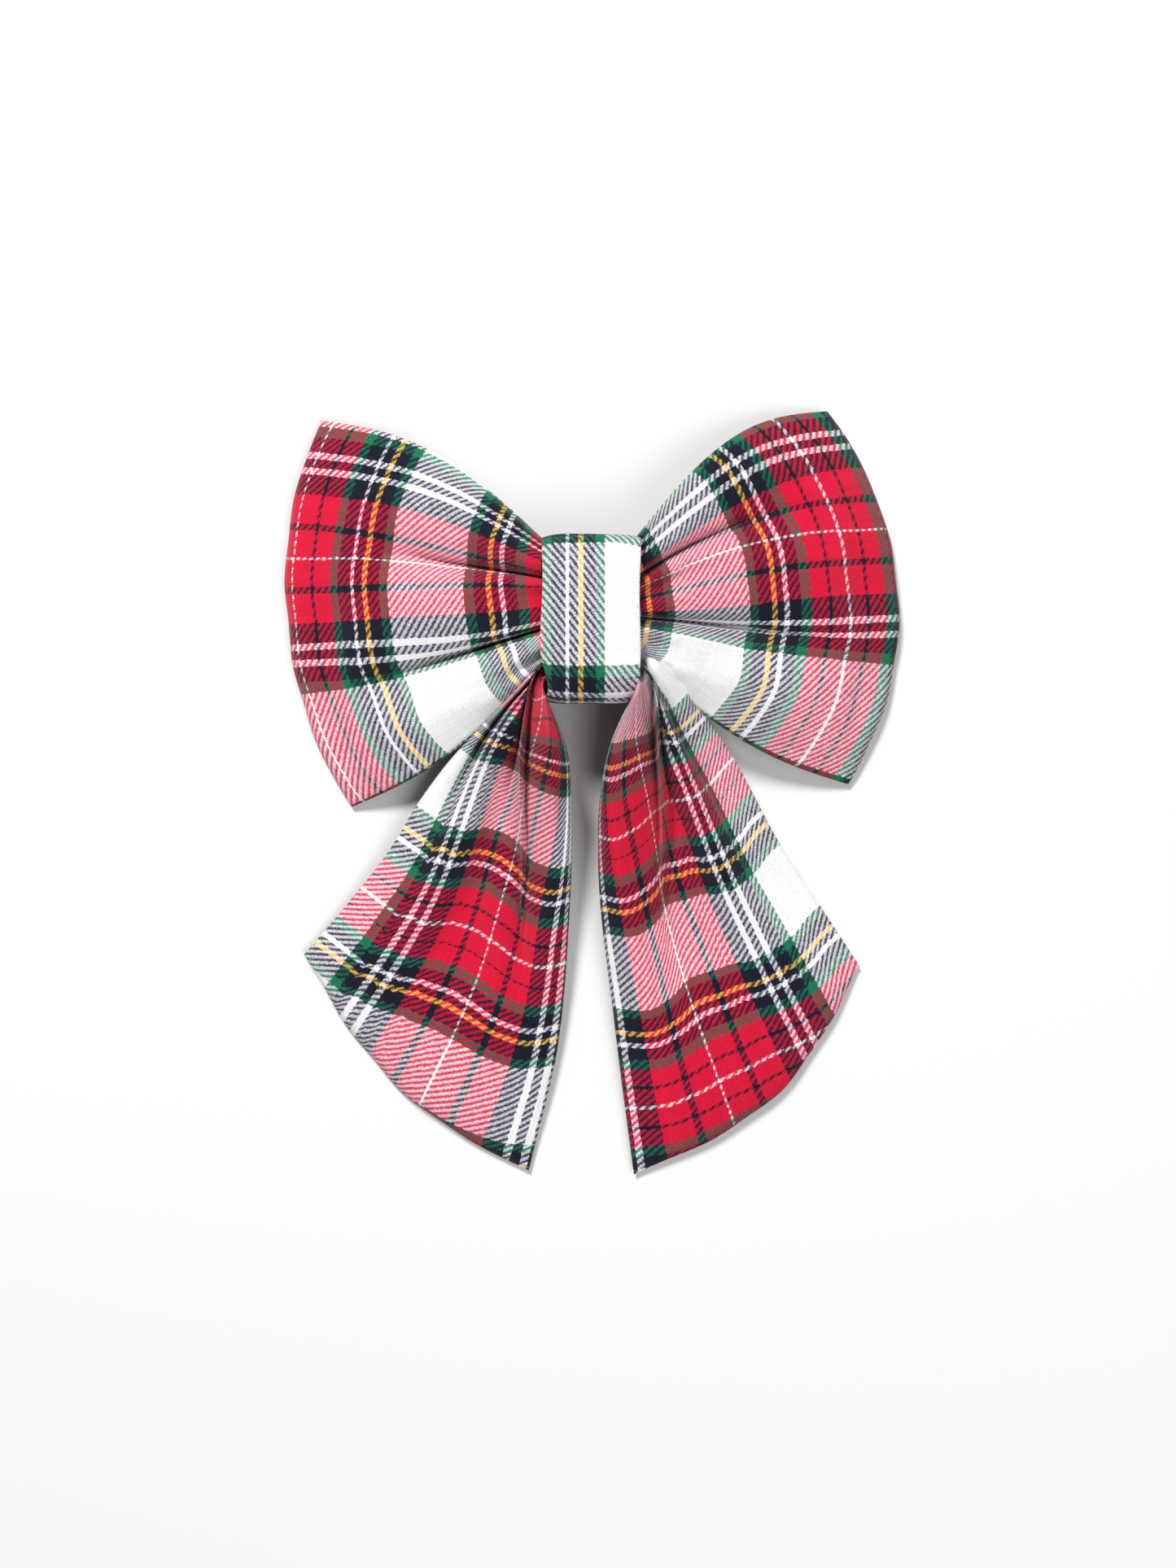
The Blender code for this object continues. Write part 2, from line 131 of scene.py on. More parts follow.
# Loops. upper, lower, bow: the hem's corners and sideways bow. flare: how early the upper and the lower edge
# fan out. cloth: millimetres of cloth from the upper edge to the lower. weft_top: the tartan's place at the
# upper edge. gather: rows of (cloth from the upper edge, y) beside the band. creases: rows of (cloth at the
# band, cloth at the far end, width above, width below, depth, how far out it fades, overhang). lumps: rows of
# (how far out, cloth, length, width, height).
LOOPS = {
    -1: {
        "upper": (-73.9, 54.4),
        "lower": (-65.6, -51.4),
        "bow": 14.4,
        "flare": (0.24, 0.14),
        "cloth": 109.0,
        "weft_top": -38.3,
        "gather": (
            (0, 21.2),
            (6, 20.2),
            (16, 16.8),
            (36, 11.3),
            (52, 6.0),
            (69, -2.3),
            (86, -7.4),
            (109, -12.0),
        ),
        "creases": (
            (36, 35, 20, 17, 8.4, 0.88, 0.8),
            (69, 78, 17, 20, 8.4, 0.96, 1.6),
            (13, 9, 6, 7, 1.6, 0.40, 0.0),
            (53, 57, 7, 7, 1.2, 0.42, 0.0),
            (94, 88, 8, 9, 2.4, 0.44, 0.2),
            (53, 56, 17, 18, 1.8, 1.0, 0.0),
        ),
        "lumps": (
            (0.22, 92, 0.10, 9, 1.8),
            (0.5, 20, 0.14, 12, 0.8),
            (0.66, 56, 0.12, 10, 0.7),
            (0.8, 95, 0.1, 9, 0.7),
        ),
    },
    1: {
        "upper": (64.9, 56.8),
        "lower": (70.6, -45.2),
        "bow": 17.0,
        "flare": (0.29, 0.16),
        "cloth": 107.0,
        "weft_top": -35.3,
        "gather": (
            (0, 22.4),
            (6, 21.0),
            (14, 17.0),
            (25, 11.2),
            (40, 6.8),
            (54, 2.9),
            (62, 0.6),
            (80, -4.0),
            (107, -10.4),
        ),
        "creases": (
            (25, 28, 20, 17, 8.0, 0.88, 0.6),
            (62, 69, 17, 20, 8.4, 1.0, 1.2),
            (11, 12, 6, 6, 1.6, 0.40, 0.0),
            (42, 40, 7, 7, 1.8, 0.50, 0.0),
            (84, 82, 9, 9, 2.0, 0.40, 0.0),
            (44, 48, 16, 16, 1.8, 1.0, 0.0),
        ),
        "lumps": (
            (0.2, 84, 0.10, 12, 1.4),
            (0.55, 12, 0.16, 9, 0.8),
            (0.68, 50, 0.12, 11, 0.8),
            (0.82, 88, 0.1, 9, 0.6),
        ),
    },
}
# The height of a loop's middle at its hem's corners, and the power with which it falls from the knot. FACES:
# how far the front (1) and the back (-1) stand off that middle, as (at the knot, further out, how far out).
# BACK_RISE: the share of the front's creases and lumps that the back follows. CLOSES: where the padding
# starts to close towards the hem, and the stretch over which it does.
LOOP_HEM_Z = (3.2, 1.6)
LOOP_DROOP = 1.1
LOOP_FACES = {1: (8.2, 5.0, 0.6), -1: (5.0, 1.8, 0.4)}
LOOP_BACK_RISE = 0.3
LOOP_CLOSES = (0.72, 0.28)

# The waist between the loops is this much narrower and thinner than the loops where they meet it
WAIST_NARROWER = 0.2
WAIST_THICKNESS = 0.7

# The tartan's place at each loop's hem
WARP_AT_HEM = {-1: -3.6, 1: 168.2}

# Tails. outer and inner: points down each long edge. bow: the hem's bow. cloth: millimetres of cloth from the
# outer edge to the inner. weft_outer: the tartan's place at the outer edge. warp: its start at the inner and
# the outer edge. gather: rows of (cloth from the outer edge, share of the way across) at the knot. creases
# and lumps as on the loops, from the outer edge. sway and waves: rows of (cloth from the outer edge, how far
# the tartan is shifted down the tail), near the knot and further down. rise: how far the top stands over the
# loop beside it.
TAILS = {
    -1: {
        "outer": (
            (-11.0, -9.0),
            (-15.0, -12.4),
            (-23.6, -20.8),
            (-36.4, -35.2),
            (-46.8, -49.6),
            (-54.8, -62.8),
            (-67.4, -79.0),
            (-78.6, -92.2),
        ),
        "inner": (
            (-11.0, -16.6),
            (-12.6, -20.2),
            (-10.6, -25.4),
            (-6.7, -37.0),
            (-5.5, -52.0),
            (-6.2, -84.6),
            (-9.4, -118.6),
            (-17.2, -151.4),
        ),
        "bow": 8.6,
        "cloth": 76.3,
        "weft_outer": -45.8,
        "warp": (-7.4, -5.5),
        "gather": (
            (0, 0.02),
            (9, 0.06),
            (18, 0.16),
            (28, 0.30),
            (45.8, 0.58),
            (63.6, 0.88),
            (70, 0.96),
            (76.3, 1.0),
        ),
        "creases": (
            (14, 62, 13, 20, 12.0, 0.86, 0.0),
            (15, 11, 10, 13, 7.0, 0.74, 0.0),
            (68, 67, 7, 7, 2.4, 0.50, 0.0),
            (36, 38, 15, 14, 3.2, 1.0, 0.0),
        ),
        "lumps": (
            (0.2, 58, 0.2, 13, 4.0),
            (0.3, 20, 0.2, 8, 1.6),
            (0.56, 33, 0.16, 6, -2.2),
            (0.6, 18, 0.14, 9, 1.6),
            (0.62, 66, 0.16, 9, 1.6),
            (0.8, 50, 0.1, 13, 1.2),
            (0.86, 18, 0.09, 10, 0.8),
        ),
        "sway": ((0, -3.6), (25, -3.8), (36, -5.0), (50, -2.5), (76.3, 0)),
        "waves": (
            (0, -2.5),
            (10, -2.4),
            (20, -1.6),
            (36, 3.0),
            (46, 2.9),
            (57, 1.0),
            (66, 1.6),
            (76.3, 4.2),
        ),
        "rise": 1.0,
    },
    1: {
        "outer": (
            (10.6, -7.4),
            (14.6, -9.4),
            (18.6, -11.4),
            (23.9, -16.4),
            (31.6, -27.0),
            (38.9, -38.0),
            (51.2, -60.6),
            (62.0, -77.4),
            (73.7, -95.4),
        ),
        "inner": (
            (11.2, -15.0),
            (12.6, -18.4),
            (10.4, -23.4),
            (5.4, -35.2),
            (2.7, -49.5),
            (2.2, -64.0),
            (6.8, -113.0),
            (11.9, -152.6),
        ),
        "bow": 10.4,
        "cloth": 76.2,
        "weft_outer": 50.2,
        "warp": (29.5, 35.0),
        "gather": (
            (0, 0.0),
            (6, 0.05),
            (13.5, 0.2),
            (32.4, 0.44),
            (48, 0.60),
            (60, 0.80),
            (68.1, 0.95),
            (76.2, 1.0),
        ),
        "creases": (
            (12, 56, 13, 20, 12.0, 0.90, 0.0),
            (17, 14, 11, 13, 7.0, 0.78, 0.0),
            (66, 64, 7, 7, 2.4, 0.50, 0.0),
            (36, 34, 14, 14, 3.2, 1.0, 0.0),
        ),
        "lumps": (
            (0.24, 58, 0.22, 13, 4.0),
            (0.3, 20, 0.2, 8, 1.6),
            (0.62, 22, 0.14, 12, 1.6),
            (0.6, 64, 0.16, 9, 1.4),
            (0.82, 48, 0.1, 13, 1.2),
            (0.88, 16, 0.09, 10, 0.8),
        ),
        "sway": (
            (0, -8),
            (10, -7),
            (20, -5.5),
            (29, -3.0),
            (38, -6.5),
            (60, -4.0),
            (76.2, -1.9),
        ),
        "waves": (
            (0, -1.5),
            (14, -2.0),
            (27, -2.2),
            (38, 0.5),
            (48, 2.0),
            (56, -0.6),
            (64, -1.6),
            (76.2, 0.8),
        ),
        "rise": 3.4,
    },
}

# The same for the tails
TAIL_HEM_Z = 1.6
TAIL_DROOP = 1.9
TAIL_FACES = {1: (9.0, 4.4, 0.5), -1: (3.0, 1.2, 0.4)}
TAIL_BACK_RISE = 0.85
TAIL_CLOSES = (0.86, 0.14)

# A tail's top is tucked under the band: the share of its length where that shows, how far it dives there, and
# the share of its thickness that it loses
TAIL_TUCK = 0.09
TAIL_DIVE = 5.0
TAIL_PINCH = 0.6

# Creases: half-width of the rounded bottom, the depth where one starts to be keen and how much deeper it is
# when it is fully so, its width at its far end as a share of the stated one, and how much cloth it draws in
CREASE_ROUND = 0.8
CREASE_KEEN_FROM = 2
CREASE_KEEN_OVER = 4
CREASE_FAR_WIDTH = 0.75
CREASE_DRAWS_IN = 0.6

# The share of a climb that counts as length of cloth when the tartan is laid out
CLIMB_COUNTED = 0.55

# Points across and along the grids of cloth: the fine ones, and the coarser ones that are simulated
BOW_ACROSS, BOW_REACH, BOW_WAIST = 170, 110, 16
TAIL_ACROSS, TAIL_REACH = 160, 170
SETTLE_ACROSS, SETTLE_REACH = 56, 44

# Cloth simulation, at ten times the real size. GROWTH: the least and the most extra cloth, as shares.
# MOVE_LIMIT: the distance that no point moves further than. FREE_HOLD, SEAM_HOLD: how firmly free cloth and
# sewn edges are kept in place, where 1 is fixed. PUSH: the air pressure. TAIL_CALM: how many times the tails'
# moves are evened out, because they would kink the deep creases.
SIM_SCALE = 10 * MM
SIM_FRAMES = 20
GROWTH = (0.01, 0.12)
MOVE_LIMIT = 4.0
FREE_HOLD = 0.03
SEAM_HOLD = 0.25
BOW_PUSH = 0.5
TAIL_PUSH = 0.12
TAIL_CALM = 5

FLOOR_SPAN = 3.0
FLOOR_DROP = 0.00005
LIGHTS_AIM = (0, -0.03, 0)


def mix(a, b, share):
    return a + (b - a) * share


def ease(x, low=0.0, high=1.0):
    """0 below low, 1 above high, smooth between."""
    t = np.clip((x - low) / (high - low), 0, 1)
    return t * t * (3 - 2 * t)


def through(rows, at):
    """A smooth curve through rows of (key, value, ...), read at each key in at: one column per value."""
    rows = np.array(rows, dtype=float)
    keys, values = rows[:, 0], rows[:, 1:]
    slopes = np.gradient(values, keys, axis=0)
    i = np.clip(np.searchsorted(keys, at, side="right") - 1, 0, len(keys) - 2)
    width = keys[i + 1] - keys[i]
    t = ((at - keys[i]) / width)[..., None]
    width = width[..., None]
    return (
        values[i] * (2 * t**3 - 3 * t**2 + 1)
        + slopes[i] * width * (t**3 - 2 * t**2 + t)
        + values[i + 1] * (3 * t**2 - 2 * t**3)
        + slopes[i + 1] * width * (t**3 - t**2)
    )


def along(points, share):
    """Points on the smooth curve through points, at shares of its length."""
    points = np.array(points, dtype=float)
    steps = np.linalg.norm(np.diff(points, axis=0), axis=1)
    keys = np.concatenate(([0], np.cumsum(steps)))
    return through(np.column_stack((keys, points)), np.asarray(share) * keys[-1])


def hem_arc(first, last, bow, share, outwards):
    """Points on the circular arc from first to last that bows outwards."""
    first, last = np.array(first), np.array(last)
    chord = np.linalg.norm(last - first)
    radius = chord * chord / (8 * bow) + bow / 2
    half = math.asin(chord / 2 / radius)
    run = (last - first) / chord
    side = np.array((-run[1], run[0]))
    side = side if side @ np.array(outwards) > 0 else -side
    middle = (first + last) / 2 - side * (radius - bow)
    angle = mix(-half, half, share)[..., None]
    return middle + run * radius * np.sin(angle) + side * radius * np.cos(angle)


def crown(share, power=2.6):
    """0 at a pillow's two seams, 1 between, with full round edges."""
    return np.clip(1 - np.abs(2 * share - 1) ** power, 0, 1) ** (1 / power)


def ripples(s, v, scale, seed):
    """Soft, fixed unevenness of about -1 to 1 over a piece of cloth."""
    a, b = s / scale, v / scale
    return (
        0.45 * np.sin(1.7 * a + 0.6 * b + seed)
        + 0.35 * np.sin(0.8 * a - 1.9 * b + 2.1 * seed)
        + 0.2 * np.sin(2.9 * a + 2.3 * b + 0.7 * seed)
    )


# ---------------------------------------------------------------- cloth shapes


def seen(x, y, z):
    """Moves points so that from the camera they line up with where they would be on the outlines' plane."""
    near = 1 - (z - PLANE_Z) / EYE_HEIGHT
    return EYE[0] + (x - EYE[0]) * near, EYE[1] + (y - EYE[1]) * near


def creased(out, v, creases, lumps, course):
    """How far cloth is drawn in towards each crease, and how much it rises, over a fan.

    course bends a crease's way from its place at the band to its place at the far end. Returns (shift in
    millimetres of cloth, rise). The cloth on both sides of a crease rolls down into it."""
    shape = np.broadcast(out, v).shape
    shift, rise = np.zeros(shape), np.zeros(shape)
    for first, last, above, below, depth, reach, lean in creases:
        here = mix(first, last, course(np.clip(out / reach, 0, 1)))
        fade = 1 - ease(out, 0.2 * reach, reach)
        away = v - here
        width = np.where(away < 0, above, below) * mix(CREASE_FAR_WIDTH, 1.0, fade)
        near = np.clip((np.hypot(away, CREASE_ROUND) - CREASE_ROUND) / width, 0, 1)
        keen = np.clip((depth - CREASE_KEEN_FROM) / CREASE_KEEN_OVER, 0, 1) * np.sqrt(fade)
        soft_side = 0.5 + 0.5 * np.cos(math.pi * near)
        keen_side = 1 - np.sqrt(1 - (1 - near) ** 2)
        rise -= depth * fade * mix(soft_side, keen_side, keen)
        drawn = CREASE_DRAWS_IN * keen * width * (near - 1 + np.cos(near * math.pi / 2))
        shift -= np.sign(away) * drawn
        # the cloth above an overhanging crease is drawn over it
        shift += np.where(away < 0, 1, 0) * lean * fade * np.sin(math.pi * near) * np.exp(-3 * near) * 3
    for at, where, long, wide, height in lumps:
        rise += height * np.exp(-(((out - at) / long) ** 2) - ((v - where) / wide) ** 2)
    return shift, rise


def standing_off(faces, face, o):
    """How far a face stands off its piece's middle, from LOOP_FACES or TAIL_FACES."""
    start, end, reach = faces[face]
    return mix(start, end, ease(o, 0, reach))


def closing(o, closes):
    """1 over most of a piece, falling to 0 at its sewn hem with a round edge."""
    start, stretch = closes
    return crown(0.5 + 0.5 * np.clip((o - start) / stretch, 0, 1))


def loop_grid(side, out, v, face):
    """x, y, z of one loop. out runs from the band (0) to the hem (1), v in millimetres down the cloth."""
    loop = LOOPS[side]
    cloth = loop["cloth"]
    o = out[:, None]
    shift, rise = creased(o, v, loop["creases"], loop["lumps"], lambda t: t**1.4)
    seam = v / cloth
    inside = crown(seam, 3.0)
    if face < 0:
        rise = LOOP_BACK_RISE * rise
    drawn = np.clip(v + shift * inside, 0, cloth)
    share = drawn / cloth
    y0 = through(loop["gather"], drawn)[..., 0]
    hem = hem_arc(loop["upper"], loop["lower"], loop["bow"], share, (side, 0))
    x = mix(side * (BAND_X - 1.0), hem[..., 0], o)
    y = mix(y0, hem[..., 1], o + mix(*loop["flare"], share) * np.sin(math.pi * o))
    waves = 0.45 * ripples(0 * o, v, 7.5, side + 1.0) * ease(o, 0.6, 1.0)
    middle = mix(mix(*LOOP_HEM_Z, share), KNOT_Z, (1 - o) ** LOOP_DROOP)
    uneven = 1 + 0.1 * ripples(70 * o, v, 11, side + 2.0) * ease(o, 0.1, 0.4)
    off = standing_off(LOOP_FACES, face, o) * crown(seam, 2.4) * uneven + rise * inside
    z = np.maximum(middle + face * off * closing(o, LOOP_CLOSES), LEAST_Z)
    x, y = seen(x + side * waves * inside, y, z)
    return np.stack((x, y, z), axis=-1)


def bow_grid(face, across=BOW_ACROSS, reach=BOW_REACH):
    """The whole bow's front or back: from the left hem, through the waist, to the right hem."""
    out = np.linspace(0, 1, reach)
    left, right = (
        loop_grid(side, out, np.linspace(0, 1, across) * LOOPS[side]["cloth"], face) for side in (-1, 1)
    )
    left = left[::-1]
    t = np.linspace(0, 1, BOW_WAIST + 2)[1:-1][:, None, None]
    middle = mix(left[-1], right[0], t)
    bend = np.sin(math.pi * t) ** 0.5
    middle[..., 1:2] = BAND_Y + (middle[..., 1:2] - BAND_Y) * (1 - WAIST_NARROWER * bend)
    middle[..., 2:] = KNOT_Z + (middle[..., 2:] - KNOT_Z) * mix(1.0, WAIST_THICKNESS, bend)
    return np.concatenate((left, middle, right))


def tail_grid(side, face, across=TAIL_ACROSS, reach=TAIL_REACH):
    """One tail's front or back, from the knot to the hem."""
    tail = TAILS[side]
    cloth = tail["cloth"]
    out = np.linspace(0, 1, reach)
    v = np.linspace(0, 1, across) * cloth
    o = out[:, None]
    shift, rise = creased(o, v, tail["creases"], tail["lumps"], lambda t: 1 - (1 - t) ** 2)
    seam = v / cloth
    inside = crown(seam, 3.0)
    if face < 0:
        rise = TAIL_BACK_RISE * rise
    drawn = np.clip(v + shift * inside, 0, cloth)
    q = mix(through(tail["gather"], drawn)[..., 0], drawn / cloth, ease(o, 0.15, 0.6))
    outer = along(tail["outer"], out)[:, None, :]
    inner = along(tail["inner"], out)[:, None, :]
    plan = outer + (inner - outer) * q[..., None]
    waves = 0.6 * ripples(0 * o, v, 7.5, side + 4.0) * ease(o, 0.7, 1.0) * inside
    bulge = tail["bow"] * np.sin(math.pi * q) * o**3 + waves
    plan = plan + np.array((side * 0.7, -0.7)) * bulge[..., None]
    middle = mix(TAIL_HEM_Z, KNOT_Z, (1 - o) ** TAIL_DROOP) + tail["rise"] * (1 - ease(o, 0.08, 0.32))
    tucked = 1 - ease(o, 0, TAIL_TUCK)
    middle = middle - TAIL_DIVE * tucked
    uneven = 1 + 0.14 * ripples(110 * o, v, 12, side + 5.0) * ease(o, 0.1, 0.4)
    off = standing_off(TAIL_FACES, face, o) * crown(seam, 2.4) * uneven + rise * inside
    off = off * (1 - TAIL_PINCH * tucked)
    z = np.maximum(middle + face * off * closing(o, TAIL_CLOSES), LEAST_Z)
    x, y = seen(plan[..., 0], plan[..., 1], z)
    return np.stack((x, y, z), axis=-1)


def travelled(grid):
    """Distance along each row of a grid from its first column, counting only part of the climb."""
    step = np.diff(grid, axis=0) * np.array((1, 1, CLIMB_COUNTED))
    return np.concatenate((np.zeros((1, grid.shape[1])), np.cumsum(np.linalg.norm(step, axis=2), axis=0)))


def bow_weave(grid):
    """Warp and weft places over the whole bow, from its shape before it is puffed."""
    reach = BOW_REACH
    warp = np.empty(grid.shape[:2])
    warp[:reach] = WARP_AT_HEM[-1] + travelled(grid[:reach])
    warp[-reach:] = WARP_AT_HEM[1] - travelled(grid[: -reach - 1 : -1])[::-1]
    t = np.linspace(0, 1, BOW_WAIST + 2)[1:-1][:, None]
    warp[reach:-reach] = mix(warp[reach - 1], warp[-reach], t)
    u = np.linspace(0, 1, len(grid))[:, None]
    top = mix(LOOPS[-1]["weft_top"], LOOPS[1]["weft_top"], u)
    height = mix(LOOPS[-1]["cloth"], LOOPS[1]["cloth"], u)
    return warp, top + height * np.linspace(0, 1, grid.shape[1])[None, :]


def tail_weave(side, grid):
    """Warp and weft places over a tail."""
    tail = TAILS[side]
    seam = np.linspace(0, 1, grid.shape[1])
    o = np.linspace(0, 1, len(grid))[:, None]
    sway, waves = (through(tail[key], seam * tail["cloth"])[..., 0] for key in ("sway", "waves"))
    sway = sway * (1 - ease(o, 0.15, 0.45))
    sway = sway + waves * ease(o, 0.1, 0.4) * (1 - 0.7 * ease(o, 0.7, 0.95))
    warp = mix(tail["warp"][1], tail["warp"][0], seam) + travelled(grid) + sway
    return warp, np.broadcast_to(tail["weft_outer"] - side * tail["cloth"] * seam, warp.shape)


def finer(grid, rows, columns):
    """A smooth grid of points through a coarser one."""
    for count in (rows, columns):
        keys = np.linspace(0, 1, len(grid))
        flat = grid.reshape(len(grid), -1)
        grid = through(np.column_stack((keys, flat)), np.linspace(0, 1, count)).reshape(count, -1, 3)
        grid = grid.swapaxes(0, 1)
    return grid


def seam_up(front, back, open_start):
    """Joins a front and a back grid along their sewn edges."""
    middle = (front + back) / 2
    for grid in (front, back):
        grid[:, 0], grid[:, -1], grid[-1] = middle[:, 0], middle[:, -1], middle[-1]
        if not open_start:
            grid[0] = middle[0]


def sewn(front, open_start):
    """Faces for a front grid and a back grid like it that share their sewn edges, and where they join.

    The faces look outwards."""
    rows, columns = front.shape[:2]
    index = np.arange(rows * columns).reshape(rows, columns)
    edge = np.zeros((rows, columns), dtype=bool)
    edge[:, 0] = edge[:, -1] = edge[-1] = True
    edge[0] = edge[0] | (not open_start)
    other = np.where(edge, index, index + rows * columns)
    row, column = rows // 2, columns // 2
    along_it = front[row + 1, column] - front[row, column]
    across_it = front[row, column + 1] - front[row, column]
    upwards = np.cross(across_it, along_it)[2] > 0
    faces = []
    for grid, forwards in ((index, upwards), (other, not upwards)):
        quads = (grid[:-1, :-1], grid[:-1, 1:], grid[1:, 1:], grid[1:, :-1])
        faces.append(np.stack([k.ravel() for k in (quads if forwards else quads[::-1])], axis=1))
    return np.vstack(faces), edge


def puffed(name, front, back, hold, grow, open_start, push):
    """The moves of a stuffed pillow's front and back grids in a cloth simulation.

    Air pushes from inside, and the gathered cloth makes its own folds. hold: how firmly each point is kept in
    place. grow: 0 to 1 at each point, for the least to the most extra cloth."""
    rows, columns = front.shape[:2]
    faces, edge = sewn(front, open_start)
    points = np.vstack((front.reshape(-1, 3), back.reshape(-1, 3)))
    mesh = bpy.data.meshes.new(name)
    mesh.from_pydata((points * SIM_SCALE).tolist(), [], faces.tolist())
    made = bpy.data.objects.new(name, mesh)
    scene = bpy.context.scene
    scene.collection.objects.link(made)
    for group, share in (("hold", hold), ("grow", grow)):
        group = made.vertex_groups.new(name=group)
        for i, weight in enumerate(np.tile(share.ravel(), 2)):
            group.add([i], float(weight), "REPLACE")
    modifier = made.modifiers.new("cloth", "CLOTH")
    cloth = modifier.settings
    cloth.quality = 7
    cloth.mass = 0.25
    cloth.tension_stiffness = cloth.compression_stiffness = 30
    cloth.shear_stiffness = 6
    cloth.bending_stiffness = 2.0
    cloth.tension_damping = cloth.compression_damping = 12
    cloth.air_damping = 3
    cloth.use_pressure = True
    cloth.uniform_pressure_force = push
    cloth.vertex_group_mass = "hold"
    cloth.pin_stiffness = 1.0
    # Blender's cloth shrinks by a share, so growth is a negative one
    cloth.vertex_group_shrink = "grow"
    cloth.shrink_min, cloth.shrink_max = -GROWTH[0], -GROWTH[1]
    cloth.effector_weights.gravity = 0
    modifier.collision_settings.use_collision = False
    modifier.point_cache.frame_end = SIM_FRAMES
    for frame in range(1, SIM_FRAMES + 1):
        scene.frame_set(frame)
    result = made.evaluated_get(bpy.context.evaluated_depsgraph_get()).data
    moved = np.empty(len(points) * 3, dtype=np.float32)
    result.vertices.foreach_get("co", moved)
    bpy.data.objects.remove(made)
    scene.frame_set(1)
    step = moved.reshape(-1, 3) / SIM_SCALE - points
    length = np.linalg.norm(step, axis=1, keepdims=True)
    step = step / (1 + (length / MOVE_LIMIT) ** 3) ** (1 / 3)
    front, back = step.reshape(2, rows, columns, 3)
    back[edge] = front[edge]
    return front, back


def calmed(grid, times):
    """A grid of moves with each one drawn towards its neighbours, times over; the border keeps its own."""
    grid = grid.copy()
    for _ in range(times):
        around = grid[:-2, 1:-1] + grid[2:, 1:-1] + grid[1:-1, :-2] + grid[1:-1, 2:]
        grid[1:-1, 1:-1] = mix(grid[1:-1, 1:-1], around / 4, 0.7)
    return grid


def settled(name, make, hold_of, open_start=False, push=BOW_PUSH, calm=0):
    """Fine front and back grids, moved as the simulation of a coarser pair moves.

    make(face, across, reach) gives a grid, and hold_of(grid) the hold and grow that puffed needs."""
    front, back = make(1), make(-1)
    seam_up(front, back, open_start)
    small = [make(face, SETTLE_ACROSS, SETTLE_REACH) for face in (1, -1)]
    seam_up(*small, open_start)
    hold, grow = hold_of(small[0])
    for k in (0, -1):
        hold[:, k] = np.maximum(hold[:, k], SEAM_HOLD)
        hold[k] = np.maximum(hold[k], SEAM_HOLD)
    moves = puffed(name, *small, hold, grow, open_start, push)
    for grid, move in zip((front, back), moves):
        grid += finer(calmed(move, calm), *grid.shape[:2])
        grid[..., 2] = np.maximum(grid[..., 2], LEAST_Z)
    return front, back


def bow_hold(grid):
    """Hold and grow over the bow: fixed and fullest at the band."""
    past_band = np.abs(grid[..., 0]) - 12
    return np.maximum(np.clip(1 - past_band / 4, 0, 1), FREE_HOLD), np.clip(1 - past_band / 50, 0, 1)


def tail_hold(grid):
    """Hold and grow over a tail: fixed and fullest at the knot."""
    o = np.linspace(0, 1, len(grid))[:, None] + 0 * grid[..., 0]
    return np.maximum(np.clip(1 - o / 0.05, 0, 1), FREE_HOLD), np.clip(1 - o / 0.7, 0, 1)


def cloth_mesh(name, points, faces, places):
    """A smooth mesh of points in millimetres, with the cloth places of every face corner as its UV map."""
    mesh = bpy.data.meshes.new(name)
    mesh.from_pydata((points.reshape(-1, 3) * MM).tolist(), [], faces.tolist())
    layer = mesh.uv_layers.new(name="weave")
    layer.data.foreach_set("uv", places.astype(np.float32).ravel())
    mesh.shade_smooth()
    return mesh


def sheet(name, grid, warp, weft, flip=False):
    """A mesh of one face of a pillow."""
    rows, columns = grid.shape[:2]
    index = np.arange(rows * columns).reshape(rows, columns)
    a, b, c, d = index[:-1, :-1], index[1:, :-1], index[1:, 1:], index[:-1, 1:]
    order = (a, d, c, b) if flip else (a, b, c, d)
    faces = np.stack([k.ravel() for k in order], axis=1)
    places = np.stack((warp, weft), axis=-1).reshape(-1, 2)[faces.ravel()]
    return cloth_mesh(name, grid, faces, places)


def add(name, mesh, finish):
    made = bpy.data.objects.new(name, mesh)
    mesh.materials.append(finish)
    bpy.context.scene.collection.objects.link(made)
    return made


